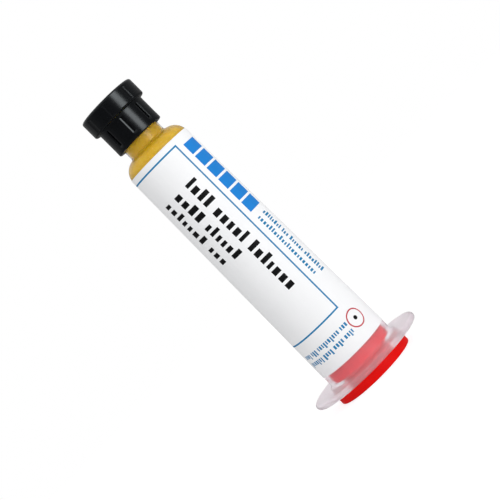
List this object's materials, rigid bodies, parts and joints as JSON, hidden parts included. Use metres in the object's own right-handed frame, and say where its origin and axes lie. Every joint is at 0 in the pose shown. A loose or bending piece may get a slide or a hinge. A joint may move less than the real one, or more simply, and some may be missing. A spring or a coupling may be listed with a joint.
{
  "type": "flux syringe",
  "caption": "Upright dispensing syringe of soldering flux: translucent barrel with a round finger flange, luer neck, screw-on tip cap, press-in end cap, piston and paper label.",
  "frame": {"origin": "centre of the end cap's outer face, on which the syringe stands", "axes": "+Z along the bore from the end cap to the tip cap; -Y through the middle of the label"},
  "size_m": [0.0322, 0.0322, 0.091],
  "materials": {
    "barrel": "translucent polypropylene, moulded gloss",
    "tip_cap": "black moulded plastic, satin",
    "end_cap": "red moulded polyethylene, soft gloss",
    "piston": "natural polyethylene, satin",
    "flux": "amber paste, wet gloss",
    "label": "white coated paper, print in blue, black and red"
  },
  "bodies": {
    "syringe": {"barrel": "barrel", "flux_paste": "flux", "label": "label"},
    "tip_cap": {"tip_cap": "tip_cap"},
    "end_cap": {"end_cap": "end_cap"},
    "piston": {"piston": "piston"}
  },
  "joints": [
    {"name": "tip_cap_off", "type": "slide", "parent": "syringe", "child": "tip_cap", "axis": [0, 0, 1], "range_m": [0, 0.015]},
    {"name": "end_cap_off", "type": "slide", "parent": "syringe", "child": "end_cap", "axis": [0, 0, -1], "range_m": [0, 0.012]},
    {"name": "piston_slide", "type": "slide", "parent": "syringe", "child": "piston", "axis": [0, 0, 1], "range_m": [0, 0.05], "deforming": ["flux_paste"]}
  ]
}
